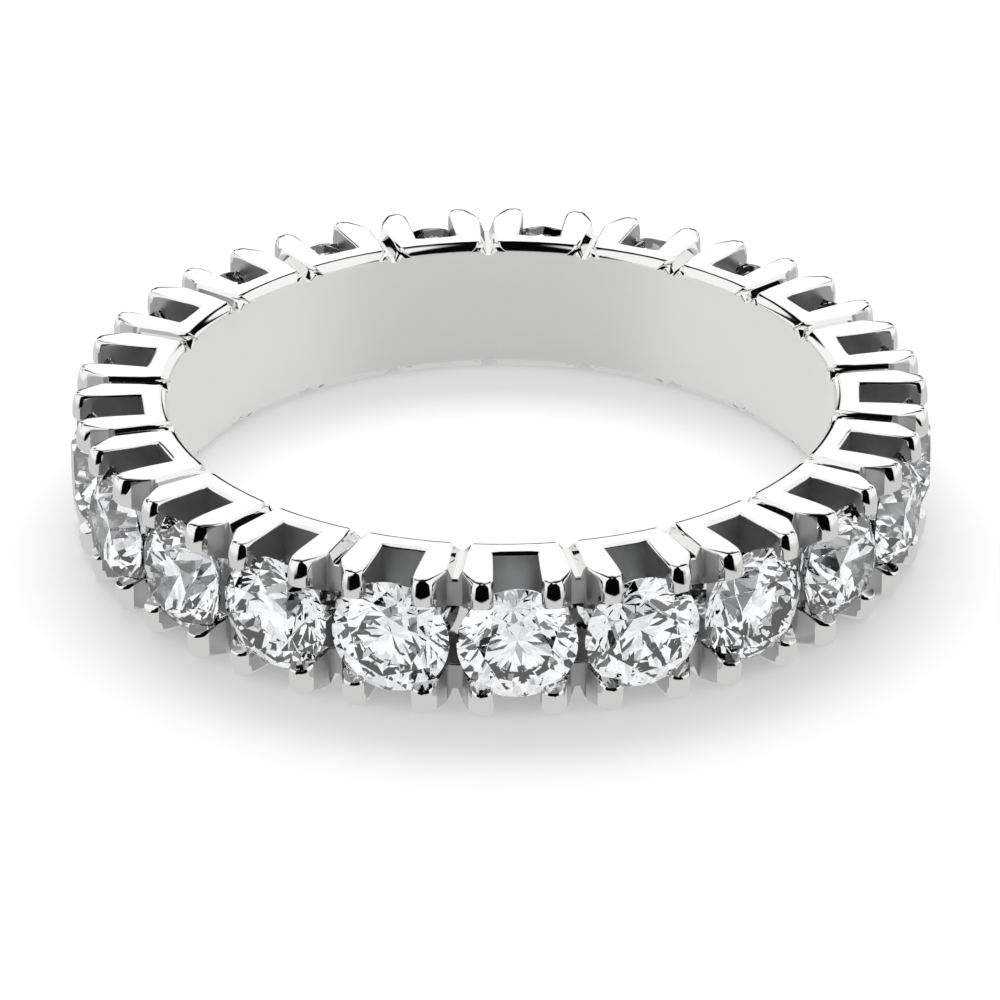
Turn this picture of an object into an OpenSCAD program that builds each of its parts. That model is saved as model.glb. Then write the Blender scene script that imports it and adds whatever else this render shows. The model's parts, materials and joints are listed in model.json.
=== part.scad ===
// Full eternity ring, lying flat. The finger axis is Z and the origin is the centre of the finger hole.
// One cast metal band carries a full circle of equal round stones. Each stone sits in a castle-cut
// setting of its own: a flat top and bottom face, a window between two arms, and four prong noses.
// Setting number 0 is centred on -Y, and the others follow counter-clockwise seen from +Z.

/* [Finger hole] */
// Inner diameter of the ring
finger_d = 17.2; // [16.8:0.1:18.2]
// Height of the ring along the finger
ring_h = 3.7; // [3.65:0.05:4.0]
// Rounding of the inner edges, for comfort
comfort_r = 0.27; // [0.1:0.01:0.3]

/* [Stones] */
// Diameter of each stone at its girdle
stone_d = 3.0; // [2.8:0.05:3.0]
// Girdle plane, outwards from the wall of the finger hole
girdle_reach = 1.96; // [1.9:0.02:2.1]
// Height from the girdle to the flat table
crown_h = 0.52; // [0.4:0.01:0.55]
// Depth from the girdle to the point
pavilion_h = 1.3; // [1.2:0.01:1.35]
// Thickness of the girdle
girdle_t = 0.08; // [0.04:0.01:0.1]
// Width of the table as a share of the diameter
table_share = 0.56; // [0.5:0.01:0.6]
// Clearance between a stone and the metal
stone_gap = 0.03; // [0.02:0.01:0.05]

/* [Band] */
// Wall thickness of the finger sleeve
sleeve_t = 0.8; // [0.75:0.01:0.9]
// Outer face of the two rails, outwards from the wall of the finger hole
rail_reach = 1.6; // [1.5:0.05:1.7]
// Height of the open channel between the two rails
channel_h = 1.6; // [1.5:0.02:1.8]
// Depth of the notch between two settings at the finger hole
notch_in = 0.29; // [0.28:0.01:0.35]
// Depth of the notch at the rail's outer face
notch_out = 0.43; // [0.3:0.01:0.5]

/* [Settings] */
// Width of a setting at the finger hole
setting_w_in = 2.18; // [2.1:0.02:2.24]
// Width of a setting at its shoulders, where it is widest
setting_w_mid = 2.66; // [2.6:0.02:2.7]
// Shoulders of a setting, outwards from the wall of the finger hole
shoulder_reach = 1.64; // [1.6:0.02:1.8]
// Width of a setting at the front of its prongs
setting_w_out = 2.18; // [2.1:0.02:2.3]
// Cut-back of the corners at the finger hole
corner_cut = 0.2; // [0.1:0.02:0.3]
// Inner end of the window, outwards from the wall of the finger hole
window_reach = 0.68; // [0.6:0.02:0.74]
// Width of the window at its inner end
window_w_in = 1.1; // [1.0:0.02:1.2]
// Width of the window between the prongs
window_w_out = 1.2; // [1.1:0.02:1.3]

/* [Prongs] */
// Outermost face of the prongs, outwards from the wall of the finger hole
prong_reach = 2.48; // [2.4:0.02:2.5]
// How far the nose of a prong rounds back towards the flat face
nose_back = 0.18; // [0.14:0.02:0.3]
// How far the nose of a prong rounds down from the flat face
nose_drop = 0.55; // [0.4:0.01:0.55]
// Lower end of a prong, down from the flat face
tip_drop = 0.73; // [0.73:0.01:0.78]
// Rounding of a prong's lower end
tip_r = 0.16; // [0.1:0.01:0.16]

/* [Hidden] */
stone_count = 21;
pitch = 360 / stone_count;
$fn = 96;
arc_steps = 5;
overcut = 0.6;

finger_r = finger_d / 2;
half_h = ring_h / 2;
sleeve_r = finger_r + sleeve_t;
rail_r = finger_r + rail_reach;
window_r = finger_r + window_reach;
shoulder_r = finger_r + shoulder_reach;
prong_r = finger_r + prong_reach;
tip_z = half_h - tip_drop;
girdle_plane = finger_r + girdle_reach;
channel_z = channel_h / 2;
// The metal starts this far inside the finger hole and is trimmed by the hole itself
stock_r = finger_r - 0.3;
// Where the cut-back corners start, just inside the finger hole
corner_x = finger_r - 0.1;
// The settings reach this far into the sleeve
joined = 0.2;

stone_r = stone_d / 2;
table_r = stone_r * table_share;
// Reach of the points where a star facet, a kite facet and two girdle facets of the crown meet
star_r = (table_r * cos(22.5) + stone_r) / 2 / cos(22.5);
// The same for the points between two main facets of the pavilion
lower_r = stone_r * 0.22;

function stone_name(i) = str("stone_", i < 9 ? "0" : "", i + 1);

// Points of a round or oval corner, from one angle to another
function arc(centre, radii, from_angle, to_angle) =
    [for (s = [0 : arc_steps])
        let (a = from_angle + (to_angle - from_angle) * s / arc_steps)
        [centre[0] + radii[0] * cos(a), centre[1] + radii[1] * sin(a)]];

// A list of points with their second coordinate turned round, in reverse order
function mirrored(points) = [for (i = [len(points) - 1 : -1 : 0]) [points[i][0], -points[i][1]]];

// Moves a shape that points along +X to setting number i
module at_setting(i) {
    rotate([0, 0, -90 + i * pitch]) children();
}

// Turns a shape that stands on the setting's axis from +Z to +X, at the girdle plane
module on_girdle() {
    translate([girdle_plane, 0, 0]) rotate([0, 90, 0]) children();
}

// Sleeve and the two rails in the notches between the settings
module sleeve_and_rails() {
    upper = [
        [stock_r, half_h - notch_in],
        [finger_r, half_h - notch_in],
        [rail_r, half_h - notch_out],
        [rail_r, channel_z],
        [sleeve_r, channel_z]
    ];
    rotate_extrude() polygon(concat(upper, mirrored(upper)));
}

// Side outline of a setting: flat faces, round noses, tips and the channel between them
module setting_side() {
    nose = arc([prong_r - nose_back, half_h - nose_drop], [nose_back, nose_drop], 90, 0);
    tip = arc([prong_r - tip_r, tip_z + tip_r], [tip_r, tip_r], 0, -90);
    upper = concat(
        [[stock_r, half_h]],
        nose,
        tip,
        [[rail_r, channel_z], [sleeve_r - joined, channel_z]]
    );
    polygon(concat(upper, mirrored(upper)));
}

// Plan outline of a setting: wider from the finger hole to its shoulders, narrower again to its prongs,
// with its corners cut back at the finger hole
module setting_plan() {
    half_in = setting_w_in / 2;
    half_mid = setting_w_mid / 2;
    half_out = setting_w_out / 2;
    one_side = [
        [stock_r, half_in - corner_cut],
        [corner_x, half_in - corner_cut],
        [corner_x + corner_cut, half_in],
        [shoulder_r, half_mid],
        [prong_r, half_out]
    ];
    polygon(concat(one_side, mirrored(one_side)));
}

// Metal of one setting before its window and seat are cut
module setting() {
    intersection() {
        translate([0, setting_w_mid, 0])
            rotate([90, 0, 0])
            linear_extrude(height = 2 * setting_w_mid) setting_side();
        translate([0, 0, -ring_h])
            linear_extrude(height = 2 * ring_h) setting_plan();
    }
}

// Window of one setting, open at the top, the bottom and the outer end
module window() {
    half_in = window_w_in / 2;
    half_out = window_w_out / 2;
    translate([0, 0, -ring_h])
        linear_extrude(height = 2 * ring_h)
        polygon([
            [window_r, -half_in],
            [prong_r + overcut, -half_out],
            [prong_r + overcut, half_out],
            [window_r, half_in]
        ]);
}

// Seat of one stone: the stone's own outline with its clearance, open outwards
module seat() {
    half_t = girdle_t / 2;
    on_girdle()
        rotate_extrude()
        polygon([
            [0, -half_t - pavilion_h - 1.5 * stone_gap],
            [stone_r + stone_gap, -half_t - stone_gap],
            [stone_r + stone_gap, half_t + stone_gap],
            [table_r + 2 * stone_gap, half_t + crown_h],
            [table_r + 2 * stone_gap, half_t + crown_h + overcut],
            [0, half_t + crown_h + overcut]
        ]);
}

// Finger hole with its rounded edges
module finger_hole() {
    edge = arc([finger_r + comfort_r, half_h - comfort_r], [comfort_r, comfort_r], 180, 90);
    upper = concat(
        [[0, half_h + overcut], [finger_r + comfort_r, half_h + overcut]],
        [for (i = [arc_steps : -1 : 0]) edge[i]]
    );
    rotate_extrude() polygon(concat(upper, mirrored(upper)));
}

// The whole metal part of the ring
module band() {
    color("#d9d9d6")
        difference() {
            union() {
                sleeve_and_rails();
                for (i = [0 : stone_count - 1]) at_setting(i) setting();
            }
            finger_hole();
            for (i = [0 : stone_count - 1]) at_setting(i) {
                window();
                seat();
            }
        }
}

// A ring of points round the stone's axis, every 45 degrees from a first angle
function facet_ring(radius, height, first_angle) =
    [for (i = [0 : 7]) [radius * cos(first_angle + 45 * i), radius * sin(first_angle + 45 * i), height]];

// One round brilliant stone with its table, star, kite, girdle and pavilion facets
module stone(i) {
    half_t = girdle_t / 2;
    // Heights that keep the crown's kites and the pavilion's main facets flat
    star_h = half_t + crown_h * (stone_r - star_r * cos(22.5)) / (stone_r - table_r);
    lower_h = -half_t - pavilion_h * (1 - lower_r * cos(22.5) / stone_r);
    points = concat(
        facet_ring(table_r, half_t + crown_h, 0),
        facet_ring(star_r, star_h, 22.5),
        facet_ring(stone_r, half_t, 0),
        facet_ring(stone_r, half_t, 22.5),
        facet_ring(stone_r, -half_t, 0),
        facet_ring(stone_r, -half_t, 22.5),
        facet_ring(lower_r, lower_h, 22.5),
        [[0, 0, -half_t - pavilion_h]]
    );
    table = 0;
    star = 8;
    upper_main = 16;
    upper_mid = 24;
    lower_main = 32;
    lower_mid = 40;
    lower = 48;
    culet = 56;
    faces = concat(
        [[for (k = [7 : -1 : 0]) table + k]],
        [for (k = [0 : 7]) let (n = (k + 1) % 8) [table + k, table + n, star + k]],
        [for (k = [0 : 7]) let (p = (k + 7) % 8) [table + k, star + k, upper_main + k]],
        [for (k = [0 : 7]) let (p = (k + 7) % 8) [table + k, upper_main + k, star + p]],
        [for (k = [0 : 7]) [star + k, upper_mid + k, upper_main + k]],
        [for (k = [0 : 7]) let (n = (k + 1) % 8) [star + k, upper_main + n, upper_mid + k]],
        [for (k = [0 : 7]) [upper_main + k, upper_mid + k, lower_mid + k, lower_main + k]],
        [for (k = [0 : 7]) let (n = (k + 1) % 8)
            [upper_mid + k, upper_main + n, lower_main + n, lower_mid + k]],
        [for (k = [0 : 7]) [lower_main + k, lower_mid + k, lower + k]],
        [for (k = [0 : 7]) let (n = (k + 1) % 8) [lower_mid + k, lower_main + n, lower + k]],
        [for (k = [0 : 7]) let (p = (k + 7) % 8) [lower_main + k, lower + k, culet]],
        [for (k = [0 : 7]) let (p = (k + 7) % 8) [lower_main + k, culet, lower + p]]
    );
    color("#dfe8f2") at_setting(i) on_girdle() polyhedron(points = points, faces = faces);
}

band();
for (i = [0 : stone_count - 1])
    stone(i);
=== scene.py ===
import json
import math
import random

import bpy
from mathutils import Matrix, Vector


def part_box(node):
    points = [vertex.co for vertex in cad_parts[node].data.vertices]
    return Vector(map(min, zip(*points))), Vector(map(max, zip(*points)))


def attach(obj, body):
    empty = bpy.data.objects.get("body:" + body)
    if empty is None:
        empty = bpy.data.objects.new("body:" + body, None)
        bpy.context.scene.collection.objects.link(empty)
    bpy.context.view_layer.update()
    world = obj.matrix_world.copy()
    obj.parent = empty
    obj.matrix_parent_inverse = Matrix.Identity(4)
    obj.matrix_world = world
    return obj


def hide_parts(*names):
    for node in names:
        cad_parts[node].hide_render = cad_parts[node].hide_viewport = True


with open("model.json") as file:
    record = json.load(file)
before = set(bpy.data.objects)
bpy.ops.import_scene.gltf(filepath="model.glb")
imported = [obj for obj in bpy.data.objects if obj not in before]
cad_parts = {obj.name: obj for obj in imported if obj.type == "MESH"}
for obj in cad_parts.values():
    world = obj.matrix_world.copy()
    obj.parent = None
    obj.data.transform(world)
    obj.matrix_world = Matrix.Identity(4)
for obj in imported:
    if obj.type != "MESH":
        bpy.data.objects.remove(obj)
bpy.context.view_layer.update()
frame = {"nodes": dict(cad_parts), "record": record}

# Full eternity ring: a polished white metal band with a full circle of round brilliant stones.
# The ring lies flat, its finger axis is Z, and the first setting is centred on -Y.
# Pieces are shaped in millimetres and brought to metres when they are finished. A setting is shaped on
# +X, so its middle is the plane y = 0, and a reach is a distance from the finger axis.

MM = 0.001

# Sizes taken from the frame, in millimetres
finger_r = frame["record"]["mounts"][0]["dims"]["r_mm"]
half_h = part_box("band")[1].z / MM
stone_nodes = sorted(name for name in frame["nodes"] if name.startswith("stone_"))
pitch = 2 * math.pi / len(stone_nodes)
first_azimuth = -math.pi / 2

# Band, in millimetres: the sleeve round the finger, the rails along the channel where the stones sit,
# and the prong noses
comfort_r = 0.27
sleeve_r = finger_r + 0.8
rail_r = finger_r + 1.6
channel_z = 0.8
prong_r = finger_r + 2.48
tip_back = 0.16
tip_z = half_h - 0.73
nose_half = 1.13

# Window of a setting, in millimetres: it widens a little from its inner end to the noses
window_x = finger_r + 0.68
window_half_in = 0.555
window_half_out = 0.6
window_bend_x = finger_r + 1.3

# Shoulder of a setting and the V notch beside it, in millimetres
shoulder_r = finger_r + 1.72
corner_r = 0.3
notch_half = 0.195
notch_floor = half_h - 0.31
notch_half_in = 0.06
notch_half_out = 0.07

# Rounding of the band's edges, in millimetres: it grows from the edge at the finger hole to the corner
# of a setting, and is finer along the flat face
comfort_edge = 0.03
plate_edge = 0.045
corner_edge = 0.09
window_edge = 0.065
window_end_edge = 0.12
window_corner_run = 0.2
rail_edge = 0.06

# Narrow bevel where a flat face ends at a nose: its slope in degrees, and in millimetres the width over
# which the flat face turns into it
bevel_slope = 6.5
bevel_turn = 0.025

# What the file takes off a nose's side walls: the place along the wall, inset, drop, rounding of the
# lower edge and bevel, all of which grow towards the nose's front
outer_wall_filing = (
    (finger_r + 1.66, 0.045, 0.045, 0.04, 0.03),
    (finger_r + 1.8, 0.05, 0.055, 0.06, 0.05),
    (finger_r + 1.96, 0.07, 0.09, 0.09, 0.07),
    (finger_r + 2.1, 0.1, 0.17, 0.13, 0.09),
)
window_wall_filing = (
    (finger_r + 2.14, 0.06, 0.1, 0.1, 0.06),
    (finger_r + 1.96, 0.045, 0.055, 0.06, 0.05),
    (finger_r + 1.7, 0.04, 0.04, 0.04, 0.03),
)

# The same round a nose's two corners: the corner's radius, then inset, drop and bevel from its start to
# its end. Inset, bevel and turn together stay below the radius, or the file would fold over itself.
outer_corner_filing = (0.31, (0.12, 0.15), (0.38, 0.55), (0.1, 0.12))
inner_corner_filing = (0.26, (0.14, 0.09), (0.55, 0.34), (0.09, 0.07))
corner_steps = 6

# Steps of a filed edge's oval, of the wall's rounded lower end, and round the finger axis to the seam
oval_steps = 9
tip_steps = 6
spin_steps = 8

# Cutters reach this far past the metal, in millimetres: just clear of it, past a nose's corner, below its
# tip, past its front, into the finger hole, and where nothing else lies
overlap = 0.003
filing = 0.17
past_tip = 0.3
past_front = 0.6
inside_hole = 0.3
well_past = 1
# They reach this far past a seam, in radians
past_seam = 0.04
# Metal that the rough cuts leave on a nose for the file, in millimetres
to_file = 0.02

# Corners this close are merged, first in a quarter and then at its seams, in millimetres
merge_within = 1e-5
seam_within = 1e-4
# Faces this close to a plane lie in it, in millimetres
plane_within = 1e-3
# Faces that differ by less than this are made one, first on the band and then on a stone, in degrees
same_face = 0.4
same_facet = 0.3
# Edges of the band are smooth below this angle, in degrees
smooth_below = 35

# Slots of the finishes on the band, after the polished one: matt metal whose grey is painted shade, in the
# windows and channel and beside the rails
satin_shade_slot = 1
rail_shade_slot = 2

# Stones, in millimetres
stone_r = 1.5
girdle_x = finger_r + 1.96
girdle_half = 0.035
crown_h = 0.52
pavilion_h = 1.3
table_r = 0.84
star_r = 1.138
lower_r = 0.33
seat_gap = 0.02
blank_depth = 4
# Main facets round a stone, and the turn from one to the next in degrees
main_facets = 8
facet_turn = 360 / main_facets
# Steps round a stone's axis, for its girdle and its seat
round_steps = 96
# Seed of the draw that turns each stone its own way
stone_turns_seed = 21

# Finishes: the scale of each pattern on the metre, the roughness of the metal from cloud to cloud, what
# the inner wall adds to it, how much of the satin areas isn't mirror, and how the stones bend light
polish_pattern = 900
file_mark_pattern = 1400
stone_pattern = 400
cloud_range = (0.3, 0.7)
mirror_roughness = (0.03, 0.07)
matt_roughness = (0.34, 0.46)
inner_wall_roughness = 0.32
satin_share = 0.5
stone_ior = 2.417

# Tints at the two ends of a pattern: polished metal, the greys of painted shade on the metal in the windows
# and channel and beside the rails, stones
metal_tints = ((0.93, 0.925, 0.915), (0.90, 0.90, 0.895))
window_shade_greys = (0.42, 0.62)
rail_shade_greys = (0.6, 0.8)
stone_tints = ((0.94, 0.965, 1.0), (1.0, 1.0, 1.0))

# Camera, from the photograph's perspective, in degrees, millimetres and pixels
camera_elevation = 26.82
camera_azimuth = -92.2
camera_distance = 184.56
lens_mm = 255.9
sensor_mm = 36.0
picture_px = 1000
ring_centre_px = (500.9, 450.0)

# Studio: grey and glow of the floor, the walls' light on matt surfaces, and the softbox's elevation in
# degrees, distance and size in metres, and power in watts
floor_grey = 0.56
floor_glow = 0.35
wall_light = 0.84
softbox_elevation = 54
softbox_distance = 0.14
softbox_size = (0.12, 0.06)
softbox_watts = 0.14

# Dark card, strip and line that the metal reflects: from and to which angle in degrees, over the top or
# above the horizon, and the card's half width at the top and at the foot as a share of the sky's
card_over_top = (-48, 175)
card_heights = (-24, 95)
card_widens = (-10, 95)
card_half_widths = (0.14, 0.75)
strip_over_top = (-57.5, -44)
foot_over_top = (-110, -68)
foot_starts = (0.24, 0.36)

# Walls as the metal reflects them: their light near the floor and above it, between which heights in
# degrees it grows, and the light of what is dark
wall_lights = (0.66, 0.99)
wall_heights = (-20, -8)
dark_light = 0.002

# Walls as the stones gather them: their light and the light of what is dark, the angle round the camera
# that is dark and the angle where it has faded out, and the heights of a dark gap, in degrees
stone_wall_light = 1.25
stone_dark_light = 0.04
camera_dark_angle = 14
camera_fade_angle = 17
gap_heights = (-13, -6)


# Modelling helpers

def deselect():
    """Nothing stays selected, so that the next operator acts on its own piece only."""
    bpy.ops.object.select_all(action="DESELECT")


def pick(piece):
    """Makes one piece the selected and active one."""
    deselect()
    piece.select_set(True)
    bpy.context.view_layer.objects.active = piece


def edit(piece):
    """Opens a piece in edit mode with everything selected."""
    pick(piece)
    bpy.ops.object.mode_set(mode="EDIT")
    bpy.ops.mesh.select_all(action="SELECT")


def leave_edit():
    """Goes back to object mode."""
    bpy.ops.object.mode_set(mode="OBJECT")


def edit_faces(piece, wanted):
    """Opens a piece in edit mode with only the faces selected that pass a test on centre and normal."""
    edit(piece)
    bpy.ops.mesh.select_mode(type="FACE")
    bpy.ops.mesh.select_all(action="DESELECT")
    leave_edit()
    for face in piece.data.polygons:
        face.select = wanted(face.center, face.normal)
    bpy.ops.object.mode_set(mode="EDIT")


def edit_corners(piece, numbers):
    """Opens a piece in edit mode with only the corners of these numbers selected."""
    edit(piece)
    bpy.ops.mesh.select_mode(type="VERT")
    bpy.ops.mesh.select_all(action="DESELECT")
    leave_edit()
    for number in numbers:
        piece.data.vertices[number].select = True
    bpy.ops.object.mode_set(mode="EDIT")


def arc(centre, radii, start, stop, steps):
    """Points of a round corner in a plane, with two radii, from one angle in degrees to another."""
    points = []
    for step in range(steps + 1):
        angle = math.radians(start + (stop - start) * step / steps)
        points.append((centre[0] + radii[0] * math.cos(angle), centre[1] + radii[1] * math.sin(angle)))
    return points


def draw_face(name, corners):
    """A flat face, drawn by extruding one vertex from corner to corner and filling the outline."""
    deselect()
    bpy.ops.mesh.primitive_plane_add(size=1)
    piece = bpy.context.object
    piece.name = name
    edit(piece)
    bpy.ops.mesh.select_mode(type="VERT")
    bpy.ops.mesh.merge(type="CENTER")
    bpy.ops.transform.translate(value=corners[0])
    for here, there in zip(corners, corners[1:]):
        step = Vector(there) - Vector(here)
        bpy.ops.mesh.extrude_region_move(TRANSFORM_OT_translate={"value": step})
    bpy.ops.mesh.select_all(action="SELECT")
    bpy.ops.mesh.edge_face_add()
    leave_edit()
    return piece


def draw_block(name, corners, step):
    """A flat face extruded to a solid along one step."""
    piece = draw_face(name, corners)
    edit(piece)
    bpy.ops.mesh.extrude_region_move(TRANSFORM_OT_translate={"value": step})
    bpy.ops.mesh.select_all(action="SELECT")
    bpy.ops.mesh.normals_make_consistent(inside=False)
    leave_edit()
    return piece


def draw_loft(name, outlines):
    """A solid through a row of outlines: each is bridged to the next, and both ends are closed."""
    loops = [draw_face(name, outline) for outline in outlines]
    deselect()
    for loop in loops:
        loop.select_set(True)
    bpy.context.view_layer.objects.active = loops[0]
    bpy.ops.object.join()
    piece = bpy.context.object
    edit(piece)
    bpy.ops.mesh.delete(type="ONLY_FACE")
    leave_edit()
    corners = len(outlines[0])
    for row in range(len(outlines) - 1):
        edit_corners(piece, range(row * corners, (row + 2) * corners))
        bpy.ops.mesh.bridge_edge_loops()
        leave_edit()
    edit(piece)
    bpy.ops.mesh.fill_holes(sides=0)
    bpy.ops.mesh.select_all(action="SELECT")
    bpy.ops.mesh.remove_doubles(threshold=merge_within)
    bpy.ops.mesh.normals_make_consistent(inside=False)
    leave_edit()
    return piece


def apply_modifiers(piece):
    """Puts every modifier of a piece into its mesh."""
    pick(piece)
    for modifier in list(piece.modifiers):
        bpy.ops.object.modifier_apply(modifier=modifier.name)


def cut(piece, cutter, finish):
    """Takes a cutter away from a piece, which leaves the finish on the faces that it cuts."""
    cutter.data.materials.append(finish)
    boolean = piece.modifiers.new("cut", "BOOLEAN")
    boolean.operation = "DIFFERENCE"
    boolean.solver = "EXACT"
    boolean.material_mode = "TRANSFER"
    boolean.object = cutter
    apply_modifiers(piece)
    bpy.data.objects.remove(cutter, do_unlink=True)


def place(piece, matrix):
    """Moves a piece by a matrix, and puts the place into its mesh."""
    pick(piece)
    piece.matrix_world = matrix
    bpy.ops.object.transform_apply(location=True, rotation=True, scale=True)


def blend_between(low, high, share):
    """A value between two others, held at either end."""
    return low + (high - low) * max(0.0, min(1.0, share))


# Band

def beside_notch(reach):
    """Half width of a setting where it runs along the notch, which is equally wide all along."""
    return reach * math.sin(pitch / 2 - math.asin(notch_half / reach))


def rough_half(reach):
    """Half width of a setting before filing: along the notch to its shoulder, then narrower to the nose."""
    if reach < shoulder_r:
        return beside_notch(reach)
    share = (reach - shoulder_r) / (prong_r - shoulder_r)
    return beside_notch(shoulder_r) + (nose_half + to_file - beside_notch(shoulder_r)) * share


def rough_window_half(x):
    """Half width of a setting's window before filing."""
    share = (x - window_x) / (prong_r - window_x)
    return window_half_in + (window_half_out - to_file - window_half_in) * share


def notch_edge(reach):
    """Half width of a setting at its notch, with the rounded corner at the finger hole."""
    inside_corner = min(corner_r, max(0.0, finger_r + corner_r - reach))
    return beside_notch(reach) - corner_r + math.sqrt(corner_r ** 2 - inside_corner ** 2)


def underside_z(x):
    """Height of a nose's underside, which slopes down from the tip to the rail."""
    slope = (tip_z - channel_z) / (prong_r - tip_back - rail_r)
    return channel_z + slope * (x - rail_r)


def at_width(reach, y, z):
    """A point at a distance from the finger axis, with its own y."""
    return Vector((math.sqrt(reach ** 2 - y ** 2), y, z))


def at_azimuth(reach, azimuth, z):
    """A point at a distance from the finger axis, in a direction given in radians."""
    return Vector((reach * math.cos(azimuth), reach * math.sin(azimuth), z))


def quarter_stock(finishes):
    """The upper half of half a setting, spun from its side outline up to the seam with the next setting."""
    comfort = arc((finger_r + comfort_r, half_h - comfort_r), (comfort_r, comfort_r), 180, 90, 6)
    stock_r = prong_r + to_file
    front = [(stock_r, half_h), (stock_r, underside_z(stock_r))]
    channel = [(rail_r, channel_z), (sleeve_r, channel_z), (sleeve_r, 0)]
    outline = [(finger_r, 0)] + comfort + front + channel
    piece = draw_face("band", [(x, 0, z) for x, z in outline])
    edit(piece)
    bpy.ops.mesh.spin(steps=spin_steps, angle=-pitch / 2, center=(0, 0, 0), axis=(0, 0, 1))
    bpy.ops.mesh.select_all(action="SELECT")
    bpy.ops.mesh.remove_doubles(threshold=merge_within)
    bpy.ops.mesh.normals_make_consistent(inside=False)
    leave_edit()
    for finish in finishes:
        piece.data.materials.append(finish)
    # The channel's faces between the stones get the matt metal whose grey is painted shade
    finish_faces(piece, lies_in_channel, satin_shade_slot)
    return piece


def lies_in_channel(centre, normal):
    """Whether a face is the rail's side in the channel, between the stones."""
    faces_channel = abs(normal.z) > 0.5
    outside_sleeve = math.hypot(centre.x, centre.y) > sleeve_r - 0.1
    return faces_channel and outside_sleeve and centre.z < channel_z + 0.01


def lies_in_window(centre, normal):
    """Whether a face is an upright wall of the window."""
    between_arms = window_x - 0.01 < centre.x < prong_r - 0.2 and centre.y < window_half_out + 0.02
    return between_arms and abs(normal.z) < 0.05


def lies_beside_rail(centre, normal):
    """Whether a face is an outer wall of a nose, or the rail's outer face beside it."""
    reach = math.hypot(centre.x, centre.y)
    outside_nose = rail_r - 0.03 < reach < prong_r - 0.3 and centre.y > nose_half - 0.05
    return outside_nose and centre.z > channel_z - 0.01 and abs(normal.z) < 0.6


def finish_faces(piece, wanted, slot):
    """Gives the faces that pass a test the finish in one of the piece's slots."""
    edit_faces(piece, wanted)
    piece.active_material_index = slot
    bpy.ops.object.material_slot_assign()
    leave_edit()


def window_cutter():
    """The open window between the two arms of a setting."""
    far_x = prong_r + well_past
    corners = [
        (window_x, -well_past, -well_past),
        (far_x, -well_past, -well_past),
        (far_x, rough_window_half(far_x), -well_past),
        (window_x, window_half_in, -well_past),
    ]
    return draw_block("window", corners, (0, 0, 4 * well_past))


def notch_outline(reach, floor_z):
    """Cross-section of the V notch between two settings, at a distance from the finger axis."""
    share = (reach - finger_r) / (rail_r - finger_r)
    floor_half = blend_between(notch_half_in, notch_half_out, share)
    seam = pitch / 2
    return [
        at_azimuth(reach, seam - floor_half / reach, floor_z),
        at_width(reach, notch_edge(reach), half_h),
        at_width(reach, notch_edge(reach), half_h + well_past),
        at_azimuth(reach, seam + past_seam, half_h + well_past),
        at_azimuth(reach, seam + past_seam, floor_z),
    ]


def gap_outline(reach):
    """Cross-section of the open gap between the prongs of two settings, outside the rail."""
    edge = rough_half(reach)
    return [
        at_width(reach, edge, -well_past),
        at_width(reach, edge, half_h),
        at_width(reach, edge, half_h + well_past),
        at_azimuth(reach, pitch / 2 + past_seam, half_h + well_past),
        at_azimuth(reach, pitch / 2 + past_seam, -well_past),
    ]


def notch_and_gap_cutter():
    """The V notch, from inside the finger hole to the rail's rounded outer edge, and the gap beyond."""
    reaches = [finger_r - inside_hole, finger_r]
    for share in (0.1, 0.3, 0.6, 1.0):
        reaches.append(finger_r + corner_r * share)
    outlines = [notch_outline(reach, notch_floor) for reach in reaches]
    for turn in (0, 30, 60, 90):
        angle = math.radians(turn)
        reach = rail_r - rail_edge + rail_edge * math.sin(angle)
        outlines.append(notch_outline(reach, notch_floor - rail_edge + rail_edge * math.cos(angle)))
    for reach in (rail_r, shoulder_r, prong_r, prong_r + past_front):
        outlines.append(gap_outline(reach))
    return draw_loft("notch", outlines)


def bevel_and_oval(inset, drop, bevel):
    """Points of an edge that starts as a narrow bevel on the flat face and turns over as an oval."""
    slope = math.tan(math.radians(bevel_slope))
    foot = slope * (bevel - bevel_turn / 2)
    points = [
        (-inset - bevel - bevel_turn, slope * bevel_turn / 2),
        (bevel_turn - inset - bevel, -slope * bevel_turn / 2),
        (-inset, -foot),
    ]
    start = math.atan(slope * inset / drop)
    for step in range(1, oval_steps + 1):
        angle = start + (math.pi / 2 - start) * step / oval_steps
        along = -inset * (1 - math.sin(angle)) / (1 - math.sin(start))
        height = -foot - drop * (math.cos(start) - math.cos(angle)) / math.cos(start)
        points.append((along, height))
    return points


def filed_outline(corner, out, down, inset, drop, wall=None, past=filing):
    """Cross-section of what is filed off an edge. The edge lies between a face and a wall: out leads off
    the face, down leads along the wall. The new edge is an oval that starts inset in from the wall and
    ends drop below the face. Where wall gives a depth, a radius and a bevel, the whole wall is filed down
    to its rounded lower end, and the face has a narrow bevel before it turns over. Both kinds have the
    same number of points, so that one can be bridged to the other."""
    lift = overlap + 0.006 * drop
    if wall is None:
        oval = arc((overlap - inset, lift - drop), (inset, drop), 96, -6, oval_steps + 2)
        end = oval[-1]
        below_steps = tip_steps + 3
        below = []
        for step in range(1, below_steps + 1):
            below.append((end[0] + (past - end[0]) * step / below_steps, end[1] - 0.002 * step))
    else:
        depth, radius, bevel = wall
        oval = bevel_and_oval(inset, drop, bevel)
        below = arc((-radius, radius - depth), (radius, radius), 0, -90, tip_steps)
        below_tip = -depth - past_tip
        below += [(-radius, below_tip), (past, below_tip)]
    points = oval + below + [(past, past), (oval[0][0], past)]
    return [corner + out * along - down * height for along, height in points]


def plan_line(first, second):
    """Outward normal and offset of a wall that is seen from above as a line with the metal on its right."""
    along = (second - first).normalized()
    normal = Vector((-along.y, along.x, 0))
    return normal, normal.dot(first)


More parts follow.
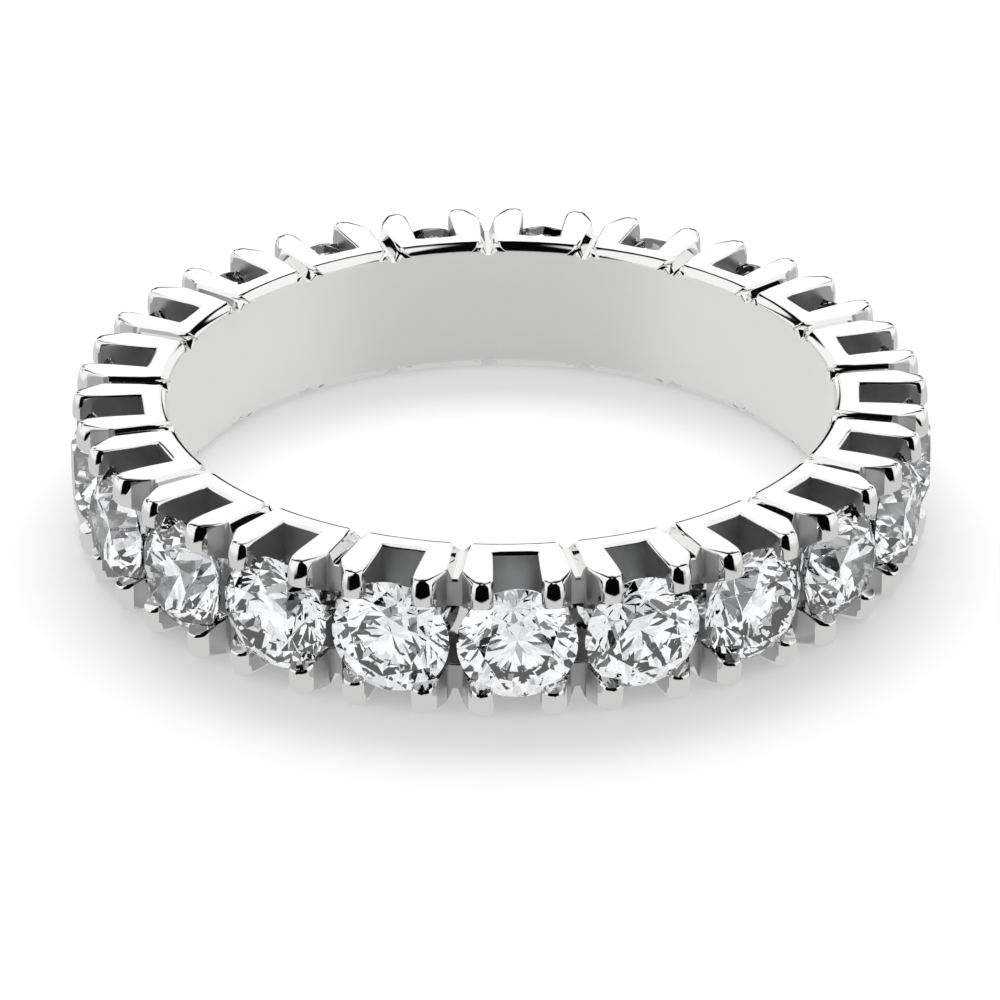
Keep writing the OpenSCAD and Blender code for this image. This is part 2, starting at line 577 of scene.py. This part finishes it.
def plan_corner(first, second, radius):
    """Centre of a rounded corner between two walls seen from above."""
    (a, offset_a), (b, offset_b) = first, second
    across = a.x * b.y - a.y * b.x
    offset_a -= radius
    offset_b -= radius
    x = (offset_a * b.y - offset_b * a.y) / across
    y = (a.x * offset_b - b.x * offset_a) / across
    return Vector((x, y, 0))


def nose_station(point, out, inset, drop, radius, bevel):
    """Cross-section of what is filed off a nose at one place of its wall."""
    inner_end = point - out * radius
    depth = half_h - underside_z(inner_end.x) + overlap
    corner = Vector((point.x, point.y, half_h))
    return filed_outline(corner, out, Vector((0, 0, -1)), inset, drop, (depth, radius, bevel))


def nose_walls():
    """The outer, front and window wall of a nose, seen from above."""
    shoulder = at_width(shoulder_r, beside_notch(shoulder_r) + overlap, 0)
    outer = plan_line(shoulder, at_width(prong_r, nose_half, 0))
    middle = math.asin((nose_half + window_half_out) / 2 / prong_r)
    front = Vector((math.cos(middle), math.sin(middle), 0)), prong_r
    bend = Vector((window_bend_x, rough_window_half(window_bend_x), 0))
    window = plan_line(Vector((prong_r, window_half_out, 0)), bend)
    return outer, front, window


def on_wall(wall, x):
    """The point of a wall at a given x."""
    normal, offset = wall
    return Vector((x, (offset - normal.x * x) / normal.y, 0))


def nose_corner_outlines(first, second, corner_filing):
    """What is filed off a nose round the corner between two of its walls."""
    corner_radius, insets, drops, bevels = corner_filing
    centre = plan_corner(first, second, corner_radius)
    start = math.atan2(first[0].y, first[0].x)
    stop = math.atan2(second[0].y, second[0].x)
    outlines = []
    for step in range(corner_steps + 1):
        share = step / corner_steps
        angle = start + (stop - start) * share
        out = Vector((math.cos(angle), math.sin(angle), 0))
        outlines.append(nose_station(centre + out * corner_radius, out,
                                     blend_between(*insets, share), blend_between(*drops, share),
                                     tip_back, blend_between(*bevels, share)))
    return outlines


def nose_outlines():
    """What is filed off a nose, from its shoulder along the outer wall, round the front, to the window."""
    outer, front, window = nose_walls()
    outlines = []
    for x, inset, drop, radius, bevel in outer_wall_filing:
        outlines.append(nose_station(on_wall(outer, x), outer[0], inset, drop, radius, bevel))
    outlines += nose_corner_outlines(outer, front, outer_corner_filing)
    outlines += nose_corner_outlines(front, window, inner_corner_filing)
    for x, inset, drop, radius, bevel in window_wall_filing:
        outlines.append(nose_station(on_wall(window, x), window[0], inset, drop, radius, bevel))
    return outlines


def notch_edge_outlines():
    """What is filed off a setting's edge along the notch, from the finger hole to the rail's outer face."""
    across = Vector((0, 1, 0))
    outlines = []
    for angle in (8, 35, 60, 90):
        turn = math.radians(angle)
        reach = finger_r + comfort_r - comfort_r * math.cos(turn)
        z = half_h - comfort_r + comfort_r * math.sin(turn)
        down = Vector((math.cos(turn), 0, -math.sin(turn)))
        width = blend_between(comfort_edge, corner_edge, angle / 60)
        outlines.append(filed_outline(at_width(reach, notch_edge(reach), z), across, down, width, width))
    widths = (
        (finger_r + 0.45, corner_edge),
        (finger_r + 0.7, plate_edge),
        (finger_r + 1.3, plate_edge),
        (rail_r - 0.02, plate_edge),
    )
    for reach, width in widths:
        foot = notch_outline(reach, notch_floor)[0]
        corner = at_width(reach, notch_edge(reach), half_h)
        outlines.append(filed_outline(corner, across, (foot - corner).normalized(), width, width))
    edge_end = at_width(rail_r + 0.03, beside_notch(rail_r + 0.03), half_h)
    outlines.append(filed_outline(edge_end, across, Vector((0, 0, -1)), plate_edge, plate_edge))
    return outlines


def window_edge_outlines():
    """What is filed off the window's edge, from the arm round its inner corner to the middle of its end."""
    down = Vector((0, 0, -1))
    outlines = []
    for x in (finger_r + 1.35, window_x + window_corner_run):
        corner = Vector((x, rough_window_half(x), half_h))
        outlines.append(filed_outline(corner, Vector((0, -1, 0)), down, window_edge, window_edge))
    corner = Vector((window_x, window_half_in, half_h))
    outlines.append(filed_outline(corner, Vector((1, -1, 0)), down, window_edge, window_end_edge))
    for y in (window_half_in - window_corner_run, -0.3):
        outlines.append(filed_outline(Vector((window_x, y, half_h)), Vector((1, 0, 0)), down,
                                      window_end_edge, window_end_edge))
    return outlines


def file_for_edges():
    """The file's whole way round the flat face of a setting."""
    return draw_loft("file", notch_edge_outlines() + nose_outlines() + window_edge_outlines())


def rail_edge_cutter():
    """Rounds the rail's edge at the channel, between the prong and the seam."""
    outlines = []
    for azimuth in (math.asin(rough_half(rail_r) / rail_r) - 0.004, pitch / 2 + past_seam):
        outward = Vector((math.cos(azimuth), math.sin(azimuth), 0))
        corner = at_azimuth(rail_r, azimuth, channel_z)
        down = Vector((0, 0, -1))
        outlines.append(filed_outline(corner, down, -outward, rail_edge, rail_edge, past=0.02))
    return draw_loft("rail edge", outlines)


def seat_cutter():
    """The seat of a stone: the stone's side outline with a little clearance, spun round its axis."""
    outline = [
        (girdle_x - girdle_half - pavilion_h - seat_gap, 0),
        (girdle_x - girdle_half - seat_gap / 2, stone_r + seat_gap),
        (girdle_x + girdle_half + seat_gap / 2, stone_r + seat_gap),
        (girdle_x + girdle_half + crown_h, table_r + seat_gap),
        (girdle_x + girdle_half + crown_h + well_past, table_r + seat_gap),
        (girdle_x + girdle_half + crown_h + well_past, 0),
    ]
    piece = draw_face("seat", [(x, 0, z) for x, z in outline])
    edit(piece)
    bpy.ops.mesh.delete(type="ONLY_FACE")
    bpy.ops.mesh.select_all(action="SELECT")
    bpy.ops.mesh.spin(steps=round_steps, angle=2 * math.pi, center=(0, 0, 0), axis=(1, 0, 0))
    bpy.ops.mesh.select_all(action="SELECT")
    bpy.ops.mesh.remove_doubles(threshold=merge_within)
    bpy.ops.mesh.select_all(action="SELECT")
    bpy.ops.mesh.delete_loose(use_verts=True, use_edges=True)
    bpy.ops.mesh.select_all(action="SELECT")
    bpy.ops.mesh.normals_make_consistent(inside=False)
    leave_edit()
    return piece


def on_seam_plane(point):
    """Whether a point lies on the plane between a setting and the next."""
    return abs(point.x * math.sin(pitch / 2) - point.y * math.cos(pitch / 2)) < plane_within


def open_mirror_planes(piece):
    """Takes away the faces on the three planes where the quarter meets its copies."""
    def lies_in_plane(centre, normal):
        if abs(normal.y) > 0.99 and abs(centre.y) < plane_within:
            return True
        if abs(normal.z) > 0.99 and abs(centre.z) < plane_within:
            return True
        return on_seam_plane(centre) and abs(normal.z) < 0.01
    edit_faces(piece, lies_in_plane)
    bpy.ops.mesh.delete(type="FACE")
    leave_edit()


def mirror_and_repeat(piece):
    """Mirrors the quarter to a whole setting, and repeats it round the finger axis."""
    mirror = piece.modifiers.new("mirror", "MIRROR")
    mirror.use_axis = (False, True, True)
    mirror.merge_threshold = seam_within
    apply_modifiers(piece)
    others = len(stone_nodes) - 1
    edit(piece)
    bpy.ops.mesh.spin(steps=others, dupli=True, angle=others * pitch, center=(0, 0, 0), axis=(0, 0, 1))
    bpy.ops.mesh.select_all(action="SELECT")
    bpy.ops.mesh.remove_doubles(threshold=seam_within)
    bpy.ops.mesh.select_all(action="SELECT")
    bpy.ops.mesh.normals_make_consistent(inside=False)
    leave_edit()


def make_quarter(finishes):
    """A quarter of one setting: its stock, with all that is cut and filed off it."""
    polished, satin = finishes[:2]
    piece = quarter_stock(finishes)
    # The window's cut walls take the matt metal whose grey is painted shade
    cut(piece, window_cutter(), satin)
    cut(piece, notch_and_gap_cutter(), polished)
    cut(piece, file_for_edges(), polished)
    cut(piece, rail_edge_cutter(), polished)
    cut(piece, seat_cutter(), polished)
    # The window's upright walls get the matt metal whose grey is painted shade for the pocket
    finish_faces(piece, lies_in_window, satin_shade_slot)
    # The rail's outer faces beside the noses get the matt metal whose lighter grey is painted shade
    finish_faces(piece, lies_beside_rail, rail_shade_slot)
    edit(piece)
    bpy.ops.mesh.dissolve_limited(angle_limit=math.radians(same_face), delimit={"MATERIAL"})
    leave_edit()
    return piece


def make_band(finishes):
    """The whole band, smooth on its rounded edges and flat on its faces. Its normals are weighted while it
    is still in millimetres, because in metres its faces would all count as equally large."""
    piece = make_quarter(finishes)
    open_mirror_planes(piece)
    mirror_and_repeat(piece)
    pick(piece)
    bpy.ops.object.shade_smooth_by_angle(angle=math.radians(smooth_below))
    weighted = piece.modifiers.new("flat faces stay flat", "WEIGHTED_NORMAL")
    weighted.weight = 70
    weighted.thresh = 1e-4
    weighted.keep_sharp = True
    apply_modifiers(piece)
    place(piece, Matrix.Scale(MM, 4) @ Matrix.Rotation(first_azimuth, 4, "Z"))
    return piece


# Stones

def plane_through(first, second, third):
    """A point and the outward normal of the plane through three points of a facet."""
    first, second, third = Vector(first), Vector(second), Vector(third)
    normal = (second - first).cross(third - first).normalized()
    if normal.dot(first) < 0:
        normal.negate()
    return first, normal


def around(radius, height, degrees):
    """A point round the stone's axis."""
    angle = math.radians(degrees)
    return (radius * math.cos(angle), radius * math.sin(angle), height)


def facet_planes():
    """The planes of a round brilliant whose axis is +Z and whose girdle is at height 0."""
    crown_z = girdle_half + crown_h
    culet_z = -girdle_half - pavilion_h
    half_turn = math.radians(facet_turn / 2)
    star_z = girdle_half + crown_h * (stone_r - star_r * math.cos(half_turn)) / (stone_r - table_r)
    lower_z = -girdle_half - pavilion_h * (1 - lower_r * math.cos(half_turn) / stone_r)
    planes = [(Vector((0, 0, crown_z)), Vector((0, 0, 1)))]
    for step in range(main_facets):
        main = facet_turn * step
        middle = main + facet_turn / 2
        following = main + facet_turn
        planes.append(plane_through(around(stone_r, girdle_half, main), around(table_r, crown_z, main),
                                    around(star_r, star_z, middle)))
        planes.append(plane_through(around(table_r, crown_z, main), around(table_r, crown_z, following),
                                    around(star_r, star_z, middle)))
        planes.append(plane_through(around(stone_r, -girdle_half, main), (0, 0, culet_z),
                                    around(lower_r, lower_z, middle)))
        for side in (main, following):
            planes.append(plane_through(around(stone_r, girdle_half, side),
                                        around(stone_r, girdle_half, middle),
                                        around(star_r, star_z, middle)))
            planes.append(plane_through(around(stone_r, -girdle_half, side),
                                        around(stone_r, -girdle_half, middle),
                                        around(lower_r, lower_z, middle)))
    return planes


def make_brilliant():
    """One round brilliant stone, cut from a cylinder facet by facet."""
    deselect()
    bpy.ops.mesh.primitive_cylinder_add(vertices=round_steps, radius=stone_r, depth=blank_depth)
    piece = bpy.context.object
    piece.name = "brilliant"
    edit(piece)
    for point, normal in facet_planes():
        bpy.ops.mesh.select_all(action="SELECT")
        bpy.ops.mesh.bisect(plane_co=point, plane_no=normal, use_fill=True, clear_outer=True)
    bpy.ops.mesh.select_all(action="SELECT")
    bpy.ops.mesh.remove_doubles(threshold=seam_within)
    bpy.ops.mesh.dissolve_limited(angle_limit=math.radians(same_facet))
    bpy.ops.mesh.select_all(action="SELECT")
    bpy.ops.mesh.normals_make_consistent(inside=False)
    leave_edit()
    return piece


def make_stones():
    """A copy of the brilliant in every setting, each turned its own way about its axis."""
    pattern = make_brilliant()
    draw = random.Random(stone_turns_seed)
    stones = []
    for index, node in enumerate(stone_nodes):
        pick(pattern)
        bpy.ops.object.duplicate(linked=False)
        piece = bpy.context.object
        piece.name = "brilliant_" + node[-2:]
        own_turn = Matrix.Rotation(math.radians(draw.uniform(0, facet_turn)), 4, "Z")
        face_out = Matrix.Rotation(math.pi / 2, 4, "Y")
        to_girdle = Matrix.Translation((girdle_x, 0, 0))
        round_ring = Matrix.Rotation(first_azimuth + index * pitch, 4, "Z")
        place(piece, Matrix.Scale(MM, 4) @ round_ring @ to_girdle @ face_out @ own_turn)
        stones.append((piece, node))
    bpy.data.objects.remove(pattern, do_unlink=True)
    return stones


# Finishes

def new_material(name):
    """A new material, with its nodes, its links and its surface shader."""
    material = bpy.data.materials.new(name)
    material.use_nodes = True
    nodes = material.node_tree.nodes
    links = material.node_tree.links
    return material, nodes, links, nodes["Principled BSDF"]


def noise(nodes, links, vector, scale, detail=2.0):
    """Soft clouds, as a value round one half."""
    texture = nodes.new("ShaderNodeTexNoise")
    texture.inputs["Scale"].default_value = scale
    texture.inputs["Detail"].default_value = detail
    links.new(vector, texture.inputs["Vector"])
    return texture.outputs["Fac"]


def ramp(nodes, links, value, from_low, from_high, to_low, to_high, soft=False):
    """A value mapped from one range to another."""
    mapping = nodes.new("ShaderNodeMapRange")
    mapping.interpolation_type = "SMOOTHSTEP" if soft else "LINEAR"
    mapping.inputs["From Min"].default_value = from_low
    mapping.inputs["From Max"].default_value = from_high
    mapping.inputs["To Min"].default_value = to_low
    mapping.inputs["To Max"].default_value = to_high
    links.new(value, mapping.inputs["Value"])
    return mapping.outputs["Result"]


def math_node(nodes, links, operation, *values):
    """A math node fed with sockets or numbers."""
    node = nodes.new("ShaderNodeMath")
    node.operation = operation
    for socket, value in zip(node.inputs, values):
        if isinstance(value, (int, float)):
            socket.default_value = value
        else:
            links.new(value, socket)
    return node.outputs["Value"]


def choose_value(nodes, links, share, first, second):
    """The first value where the share is 0 and the second where it is 1."""
    node = nodes.new("ShaderNodeMix")
    node.data_type = "FLOAT"
    links.new(share, node.inputs["Factor"])
    for socket, value in zip((node.inputs[2], node.inputs[3]), (first, second)):
        if isinstance(value, (int, float)):
            socket.default_value = value
        else:
            links.new(value, socket)
    return node.outputs[0]


def mix_colour(nodes, links, share, first, second):
    """The first colour where the share is 0 and the second where it is 1."""
    node = nodes.new("ShaderNodeMix")
    node.data_type = "RGBA"
    links.new(share, node.inputs["Factor"])
    node.inputs[6].default_value = (*first, 1)
    node.inputs[7].default_value = (*second, 1)
    return node.outputs[2]


def polished_white_metal():
    """Mirror polish with faint clouds in it. The wall of the finger hole is softer, and that wall and the
    flat faces are half satin, so that they stay light where the mirror would show a dark ceiling."""
    material, nodes, links, shader = new_material("polished_white_metal")
    place_on_ring = nodes.new("ShaderNodeTexCoord").outputs["Object"]
    split = nodes.new("ShaderNodeSeparateXYZ")
    links.new(place_on_ring, split.inputs["Vector"])
    across = math_node(nodes, links, "MULTIPLY", split.outputs["X"], split.outputs["X"])
    along = math_node(nodes, links, "MULTIPLY", split.outputs["Y"], split.outputs["Y"])
    reach = math_node(nodes, links, "SQRT", math_node(nodes, links, "ADD", across, along))
    inner_wall = ramp(nodes, links, reach, (finger_r + 0.005) * MM, (finger_r + 0.02) * MM, 1, 0, True)
    height = math_node(nodes, links, "ABSOLUTE", split.outputs["Z"])
    flat_face = ramp(nodes, links, height, (half_h - 0.006) * MM, (half_h - 0.003) * MM, 0, 1, True)
    satin = math_node(nodes, links, "MAXIMUM", inner_wall, flat_face)
    clouds = noise(nodes, links, place_on_ring, polish_pattern)
    polish = ramp(nodes, links, clouds, *cloud_range, *mirror_roughness)
    inner_polish = math_node(nodes, links, "MULTIPLY", inner_wall, inner_wall_roughness)
    links.new(math_node(nodes, links, "ADD", polish, inner_polish), shader.inputs["Roughness"])
    tint = mix_colour(nodes, links, clouds, *metal_tints)
    links.new(tint, shader.inputs["Base Color"])
    links.new(ramp(nodes, links, satin, 0, 1, 1, 1 - satin_share), shader.inputs["Metallic"])
    return material


def matt_metal_with_painted_shade(name, dark, light):
    """The same metal in the hollows where it is given: matt, with file marks, and grey as painted shade for
    these hollows.
    """
    material, nodes, links, shader = new_material(name)
    place_on_ring = nodes.new("ShaderNodeTexCoord").outputs["Object"]
    clouds = noise(nodes, links, place_on_ring, file_mark_pattern, 3.0)
    tint = mix_colour(nodes, links, clouds, (dark, dark, dark), (light, light, light))
    links.new(tint, shader.inputs["Base Color"])
    links.new(ramp(nodes, links, clouds, *cloud_range, *matt_roughness), shader.inputs["Roughness"])
    shader.inputs["Metallic"].default_value = 1.0
    return material


def clear_stone():
    """Colourless stone with a faint cool tint that differs a little from place to place."""
    material, nodes, links, shader = new_material("clear_stone")
    place_on_ring = nodes.new("ShaderNodeTexCoord").outputs["Object"]
    clouds = noise(nodes, links, place_on_ring, stone_pattern)
    tint = mix_colour(nodes, links, clouds, *stone_tints)
    links.new(tint, shader.inputs["Base Color"])
    shader.inputs["Transmission Weight"].default_value = 1.0
    shader.inputs["Roughness"].default_value = 0.0
    shader.inputs["IOR"].default_value = stone_ior
    return material


# Studio

def make_camera():
    """A long lens at the photograph's height and distance."""
    elevation = math.radians(camera_elevation)
    azimuth = math.radians(camera_azimuth)
    level = math.cos(elevation)
    back = Vector((level * math.cos(azimuth), level * math.sin(azimuth), math.sin(elevation)))
    bpy.ops.object.camera_add(location=back * camera_distance * MM)
    camera = bpy.context.object
    camera.name = "camera"
    camera.rotation_euler = back.to_track_quat("Z", "Y").to_euler()
    camera.data.lens = lens_mm
    camera.data.sensor_width = sensor_mm
    camera.data.clip_start = 0.005
    camera.data.shift_x = 0.5 - ring_centre_px[0] / picture_px
    camera.data.shift_y = ring_centre_px[1] / picture_px - 0.5
    bpy.context.scene.camera = camera


def make_floor():
    """A plain pale floor under the ring. Polished metal reflects the studio in its place."""
    deselect()
    bpy.ops.mesh.primitive_plane_add(size=2, location=(0, 0, -half_h * MM))
    floor = bpy.context.object
    floor.name = "floor"
    material, nodes, links, shader = new_material("pale_floor")
    shader.inputs["Base Color"].default_value = (floor_grey, floor_grey, floor_grey, 1)
    shader.inputs["Roughness"].default_value = 0.9
    shader.inputs["Emission Color"].default_value = (1, 1, 1, 1)
    shader.inputs["Emission Strength"].default_value = floor_glow
    floor.data.materials.append(material)
    floor.visible_glossy = False


def angle_band(nodes, links, value, low, high, soft):
    """One between two angles in degrees and zero outside, with soft ends."""
    rise = ramp(nodes, links, value, math.radians(low - soft), math.radians(low + soft), 0, 1, True)
    fall = ramp(nodes, links, value, math.radians(high - soft), math.radians(high + soft), 1, 0, True)
    return math_node(nodes, links, "MULTIPLY", rise, fall)


def studio_around_metal(nodes, links, split):
    """White walls, with a dark strip across the back, a dark card that widens from the top down the front,
    and a dark line at the foot of the back wall. A direction is given as its angle over the top, from the
    back at -90 degrees to the front at 90, and as its height above the horizon."""
    over_top = math_node(nodes, links, "ARCTAN2",
                         math_node(nodes, links, "MULTIPLY", split.outputs["Y"], -1), split.outputs["Z"])
    sideways = math_node(nodes, links, "ABSOLUTE", split.outputs["X"])
    widens_from, widens_to = (math.radians(angle) for angle in card_widens)
    half_width = ramp(nodes, links, over_top, widens_from, widens_to, *card_half_widths, True)
    beyond = math_node(nodes, links, "SUBTRACT", sideways, half_width)
    height = math_node(nodes, links, "ARCSINE", split.outputs["Z"])
    card_height = math_node(nodes, links, "MULTIPLY",
                            angle_band(nodes, links, over_top, *card_over_top, 2),
                            angle_band(nodes, links, height, *card_heights, 1))
    card_width = ramp(nodes, links, beyond, -0.06, 0.06, 1, 0, True)
    card = math_node(nodes, links, "MULTIPLY", card_width, card_height)
    back_strip = angle_band(nodes, links, over_top, *strip_over_top, 1.5)
    back_foot = math_node(nodes, links, "MULTIPLY",
                          ramp(nodes, links, sideways, *foot_starts, 1, 0, True),
                          angle_band(nodes, links, over_top, *foot_over_top, 1.5))
    card_and_strip = math_node(nodes, links, "MAXIMUM", card, back_strip)
    dark = math_node(nodes, links, "MAXIMUM", card_and_strip, back_foot)
    grows_from, grows_to = (math.radians(angle) for angle in wall_heights)
    wall = ramp(nodes, links, height, grows_from, grows_to, *wall_lights, True)
    return math_node(nodes, links, "MULTIPLY", wall, ramp(nodes, links, dark, 0, 1, 1, dark_light))


def studio_seen_in_stones(nodes, links, split):
    """The same walls as the stones gather them: white, with the dark of the camera and a dark gap below."""
    elevation = math.radians(camera_elevation)
    towards = Vector((0, -math.cos(elevation), math.sin(elevation)))
    along = math_node(nodes, links, "ADD",
                      math_node(nodes, links, "MULTIPLY", split.outputs["Y"], towards.y),
                      math_node(nodes, links, "MULTIPLY", split.outputs["Z"], towards.z))
    outer_edge = math.cos(math.radians(camera_fade_angle))
    inner_edge = math.cos(math.radians(camera_dark_angle))
    camera_dark = ramp(nodes, links, along, outer_edge, inner_edge, 0, 1, True)
    height = math_node(nodes, links, "ARCSINE", split.outputs["Z"])
    gap = angle_band(nodes, links, height, *gap_heights, 2)
    dark = math_node(nodes, links, "MAXIMUM", camera_dark, gap)
    return ramp(nodes, links, dark, 0, 1, stone_wall_light, stone_dark_light)


def make_studio_walls():
    """The studio as the metal and the stones reflect it, and plain white light for the floor and camera."""
    world = bpy.data.worlds.new("studio")
    bpy.context.scene.world = world
    world.use_nodes = True
    nodes = world.node_tree.nodes
    links = world.node_tree.links
    background = nodes["Background"]
    split = nodes.new("ShaderNodeSeparateXYZ")
    links.new(nodes.new("ShaderNodeTexCoord").outputs["Generated"], split.inputs["Vector"])
    ray = nodes.new("ShaderNodeLightPath")
    around_metal = studio_around_metal(nodes, links, split)
    in_stones = studio_seen_in_stones(nodes, links, split)
    light = choose_value(nodes, links, ray.outputs["Is Transmission Ray"], around_metal, in_stones)
    light = choose_value(nodes, links, ray.outputs["Is Diffuse Ray"], light, wall_light)
    light = choose_value(nodes, links, ray.outputs["Is Camera Ray"], light, 1.0)
    links.new(light, background.inputs["Strength"])
    background.inputs["Color"].default_value = (1, 1, 1, 1)


def make_softbox():
    """A large soft light above and behind the ring, which throws its shadow forwards."""
    elevation = math.radians(softbox_elevation)
    location = Vector((0, math.cos(elevation), math.sin(elevation))) * softbox_distance
    bpy.ops.object.light_add(type="AREA", location=location)
    light = bpy.context.object
    light.name = "softbox"
    light.data.shape = "RECTANGLE"
    light.data.size = softbox_size[0]
    light.data.size_y = softbox_size[1]
    light.data.energy = softbox_watts
    light.rotation_euler = location.to_track_quat("Z", "Y").to_euler()
    light.visible_glossy = False


# Scene

metal = polished_white_metal()
# Grey matt metal for the windows and the channel: the grey is painted shade for these recesses
window_metal_shaded = matt_metal_with_painted_shade("satin_metal_painted_shade", *window_shade_greys)
# Lighter grey matt metal beside the rails: the grey is painted shade where the rail sits deep between the
# noses
rail_metal_shaded = matt_metal_with_painted_shade("matt_metal_painted_shade", *rail_shade_greys)
stone_finish = clear_stone()

band = make_band((metal, window_metal_shaded, rail_metal_shaded))
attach(band, "root")
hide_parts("band")

for piece, node in make_stones():
    piece.data.materials.append(stone_finish)
    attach(piece, "root")
    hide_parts(node)

make_camera()
make_floor()
make_studio_walls()
make_softbox()
bpy.context.scene.view_settings.view_transform = "Standard"
